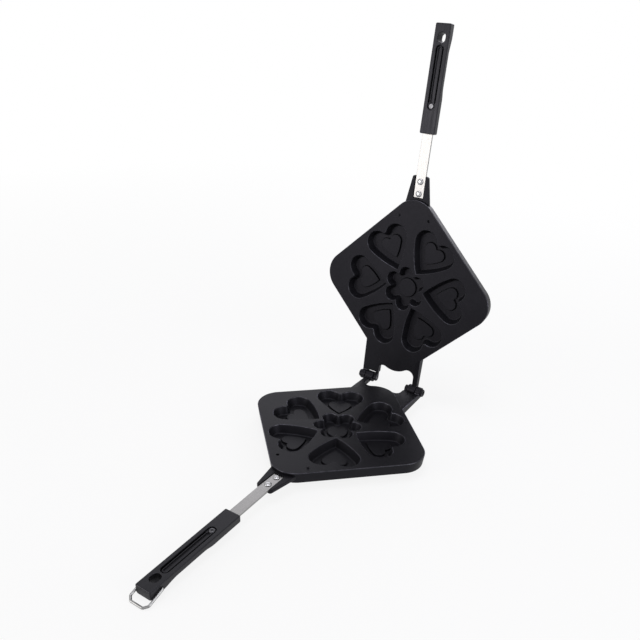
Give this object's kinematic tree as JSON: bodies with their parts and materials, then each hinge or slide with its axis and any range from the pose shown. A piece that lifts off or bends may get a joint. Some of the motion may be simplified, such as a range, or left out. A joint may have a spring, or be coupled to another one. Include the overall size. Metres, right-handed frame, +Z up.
{
  "type": "heart waffle iron",
  "caption": "Stove-top waffle iron: two hinged cast plates with heart cavities round a flower, flat steel handle strips with slotted plastic grips, and a wire locking bail.",
  "frame": {"origin": "on the table, at the middle of the open iron's box, 53.8 mm in front of the lower plate's centre", "axes": "+Z up, +Y from the handle towards the hinge, +X to the right seen from the handle"},
  "size_m": [0.1916, 0.4423, 0.3935],
  "materials": {
    "coated_aluminium": "dark matt non-stick coating on cast aluminium",
    "black_plastic": "satin black phenolic plastic",
    "stainless_steel": "fine brushed stainless steel"
  },
  "bodies": {
    "lower_half": {"lower_plate": "coated_aluminium", "hinge_pin_right": "stainless_steel", "lower_handle_strip": "stainless_steel", "lower_inner_rivet": "stainless_steel", "lower_outer_rivet": "stainless_steel", "lower_grip": "black_plastic", "lower_grip_screw": "stainless_steel"},
    "upper_half": {"upper_plate": "coated_aluminium", "hinge_pin_left": "stainless_steel", "upper_handle_strip": "stainless_steel", "upper_inner_rivet": "stainless_steel", "upper_outer_rivet": "stainless_steel", "upper_grip": "black_plastic", "upper_grip_screw": "stainless_steel"},
    "bail": {"locking_bail": "stainless_steel"}
  },
  "joints": [
    {"name": "main_hinge", "type": "hinge", "parent": "lower_half", "child": "upper_half", "pos_m": [0, 0.16392, 0.01915], "axis": [1, 0, 0], "range_deg": [0, 96.2]},
    {"name": "bail_swing", "type": "hinge", "parent": "lower_half", "child": "bail", "pos_m": [0, -0.20185, 0.00783], "axis": [-1, 0, 0], "range_deg": [-145, 80]}
  ]
}
